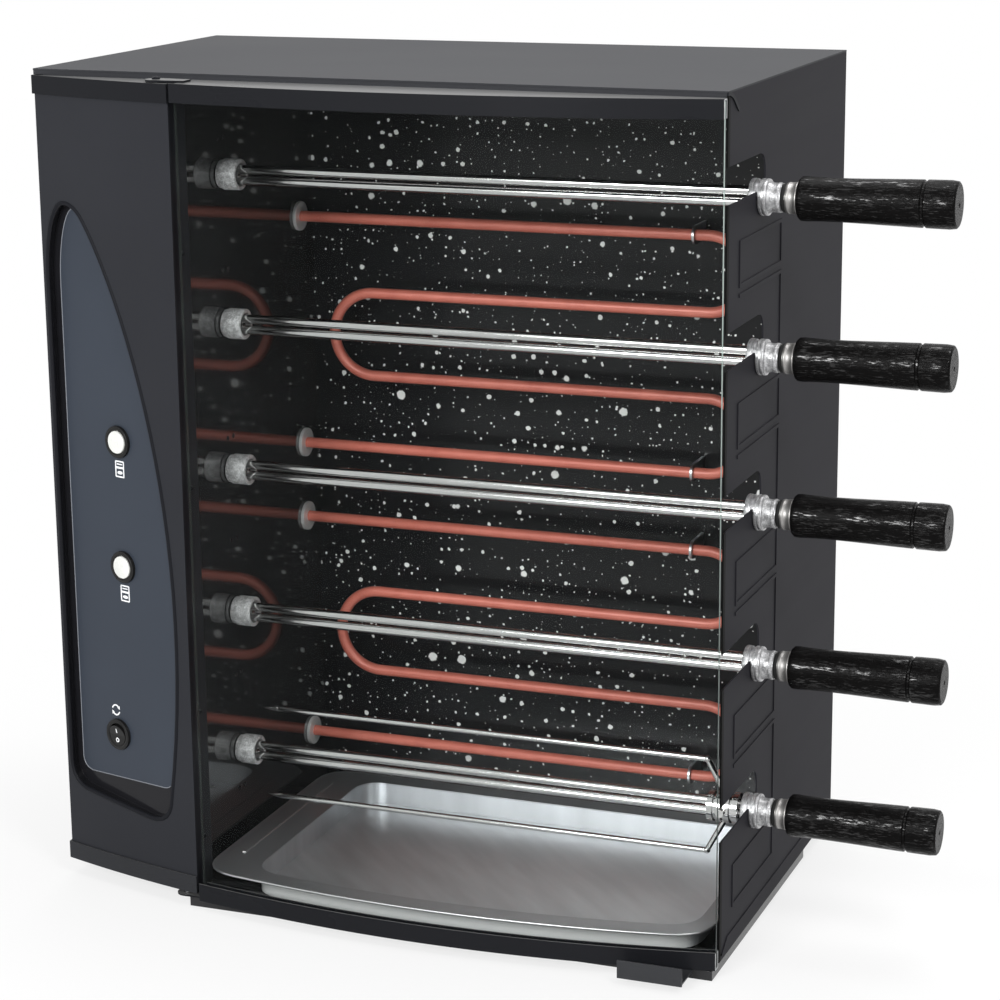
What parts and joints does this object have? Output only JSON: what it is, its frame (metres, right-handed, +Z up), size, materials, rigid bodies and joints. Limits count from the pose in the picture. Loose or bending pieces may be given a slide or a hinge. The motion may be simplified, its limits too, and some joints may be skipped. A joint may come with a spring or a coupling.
{
  "type": "electric skewer grill",
  "caption": "Upright countertop grill: driven skewers turn before heating tubes behind a curved glass door, over a sliding drip tray, with a control column.",
  "frame": {"origin": "on the floor plane, under the middle of the cabinet's width and depth", "axes": "+X from the control column to the skewer handles, -Y out of the glass door, +Z up"},
  "size_m": [0.6435, 0.3498, 0.6],
  "materials": {
    "roof_paint": "satin",
    "dark_paint": "semi-gloss",
    "side_paint": "satin",
    "black_enamel": "gloss",
    "panel_blue_grey": "satin",
    "gloss_black_plastic": "gloss",
    "silver_plastic": "gloss",
    "hot_tube": "matte oxide",
    "bright_steel": "bright",
    "zinc_steel": "zinc plated",
    "bronze": "sintered",
    "gear_steel": "machined",
    "black_rubber": "matte",
    "door_paint": "semi-gloss",
    "door_glass": "clear",
    "stainless_tray": "bright",
    "cast_metal": "sand cast",
    "chromed_rod": "polished",
    "black_wood": "glossy black lacquer"
  },
  "bodies": {
    "cabinet": {"roof_cover": "roof_paint", "left_side_panel": "dark_paint", "back_cover": "dark_paint", "slotted_side_wall": "side_paint", "chamber_left_wall": "black_enamel", "chamber_back_wall": "black_enamel", "base_pan": "black_enamel", "column_fascia": "dark_paint", "column_top_cap": "dark_paint", "column_bottom_cap": "dark_paint", "control_recess": "gloss_black_plastic", "control_panel": "panel_blue_grey", "switch_housings": "gloss_black_plastic", "upper_element": "hot_tube", "lower_element": "hot_tube", "element_flanges": "bright_steel", "element_clips": "bright_steel", "gear_carrier": "zinc_steel", "idler_pins": "bright_steel", "spindle_bushes": "bronze", "gear_motor": "zinc_steel", "hinge_pins": "bright_steel", "tray_runners": "black_enamel", "rubber_feet": "black_rubber", "cord_gland": "black_rubber"},
    "door": {"door_top_rail": "door_paint", "door_bottom_rail": "door_paint", "door_glass": "door_glass", "door_pull": "door_paint"},
    "tray": {"drip_tray": "stainless_tray"},
    "upper_button": {"upper_button": "silver_plastic"},
    "lower_button": {"lower_button": "silver_plastic"},
    "rocker_switch": {"rocker": "gloss_black_plastic"},
    "pinion": {"motor_pinion": "bronze"},
    "idler_1": {"idler_gear_1": "gear_steel"},
    "idler_2": {"idler_gear_2": "gear_steel"},
    "idler_3": {"idler_gear_3": "gear_steel"},
    "idler_4": {"idler_gear_4": "gear_steel"},
    "spindle_1": {"drive_socket_1": "cast_metal", "socket_gear_1": "gear_steel", "skewer_1": "chromed_rod", "handle_1": "black_wood"},
    "spindle_2": {"drive_socket_2": "cast_metal", "socket_gear_2": "gear_steel", "skewer_2": "chromed_rod", "handle_2": "black_wood"},
    "spindle_3": {"drive_socket_3": "cast_metal", "socket_gear_3": "gear_steel", "skewer_3": "chromed_rod", "handle_3": "black_wood"},
    "spindle_4": {"drive_socket_4": "cast_metal", "socket_gear_4": "gear_steel", "skewer_4": "chromed_rod", "handle_4": "black_wood"},
    "spindle_5": {"drive_socket_5": "cast_metal", "socket_gear_5": "gear_steel", "skewer_5": "chromed_rod", "handle_5": "black_wood", "skewer_fork": "chromed_rod"}
  },
  "joints": [
    {"name": "door_hinge", "type": "hinge", "parent": "cabinet", "child": "door", "pos_m": [-0.147, -0.151, 0.3], "axis": [0, 0, -1], "range_deg": [0, 110]},
    {"name": "tray_slide", "type": "slide", "parent": "cabinet", "child": "tray", "axis": [0, -1, 0], "range_m": [0, 0.0768]},
    {"name": "upper_button_press", "type": "slide", "parent": "cabinet", "child": "upper_button", "axis": [0.3156, 0.9489, 0], "range_m": [0, 0.0025], "stiffness_N_per_m": 400, "springref_m": -0.002},
    {"name": "lower_button_press", "type": "slide", "parent": "cabinet", "child": "lower_button", "axis": [0.3156, 0.9489, 0], "range_m": [0, 0.0025], "stiffness_N_per_m": 400, "springref_m": -0.002},
    {"name": "rocker_tilt", "type": "hinge", "parent": "cabinet", "child": "rocker_switch", "pos_m": [-0.20453, -0.13662, 0.119], "axis": [-0.9489, 0.3156, 0], "range_deg": [0, 14]},
    {"name": "skewer_turn_1", "type": "hinge", "parent": "cabinet", "child": "spindle_1", "pos_m": [-0.1672, -0.069, 0.523], "axis": [1, 0, 0], "continuous": true},
    {"name": "skewer_turn_2", "type": "hinge", "parent": "cabinet", "child": "spindle_2", "pos_m": [-0.1672, -0.069, 0.4155], "axis": [1, 0, 0], "continuous": true},
    {"name": "skewer_turn_3", "type": "hinge", "parent": "cabinet", "child": "spindle_3", "pos_m": [-0.1672, -0.069, 0.308], "axis": [1, 0, 0], "continuous": true},
    {"name": "skewer_turn_4", "type": "hinge", "parent": "cabinet", "child": "spindle_4", "pos_m": [-0.1672, -0.069, 0.2005], "axis": [1, 0, 0], "continuous": true},
    {"name": "skewer_turn_5", "type": "hinge", "parent": "cabinet", "child": "spindle_5", "pos_m": [-0.1672, -0.069, 0.093], "axis": [1, 0, 0], "continuous": true},
    {"name": "idler_turn_1", "type": "hinge", "parent": "cabinet", "child": "idler_1", "pos_m": [-0.1672, -0.069, 0.46925], "axis": [1, 0, 0], "continuous": true},
    {"name": "idler_turn_2", "type": "hinge", "parent": "cabinet", "child": "idler_2", "pos_m": [-0.1672, -0.069, 0.36175], "axis": [1, 0, 0], "continuous": true},
    {"name": "idler_turn_3", "type": "hinge", "parent": "cabinet", "child": "idler_3", "pos_m": [-0.1672, -0.069, 0.25425], "axis": [1, 0, 0], "continuous": true},
    {"name": "idler_turn_4", "type": "hinge", "parent": "cabinet", "child": "idler_4", "pos_m": [-0.1672, -0.069, 0.14675], "axis": [1, 0, 0], "continuous": true},
    {"name": "pinion_turn", "type": "hinge", "parent": "cabinet", "child": "pinion", "pos_m": [-0.1672, -0.02122, 0.308], "axis": [1, 0, 0], "continuous": true}
  ],
  "couplings": [
    {"joint": "tray_slide", "follows": "door_hinge", "m_per_rad": 0.04},
    {"joint": "skewer_turn_1", "follows": "skewer_turn_5", "ratio": 1},
    {"joint": "skewer_turn_2", "follows": "skewer_turn_5", "ratio": 1},
    {"joint": "skewer_turn_3", "follows": "skewer_turn_5", "ratio": 1},
    {"joint": "skewer_turn_4", "follows": "skewer_turn_5", "ratio": 1},
    {"joint": "idler_turn_1", "follows": "skewer_turn_5", "ratio": -1.25},
    {"joint": "idler_turn_2", "follows": "skewer_turn_5", "ratio": -1.25},
    {"joint": "idler_turn_3", "follows": "skewer_turn_5", "ratio": -1.25},
    {"joint": "idler_turn_4", "follows": "skewer_turn_5", "ratio": -1.25},
    {"joint": "pinion_turn", "follows": "skewer_turn_5", "ratio": -1.6667}
  ]
}
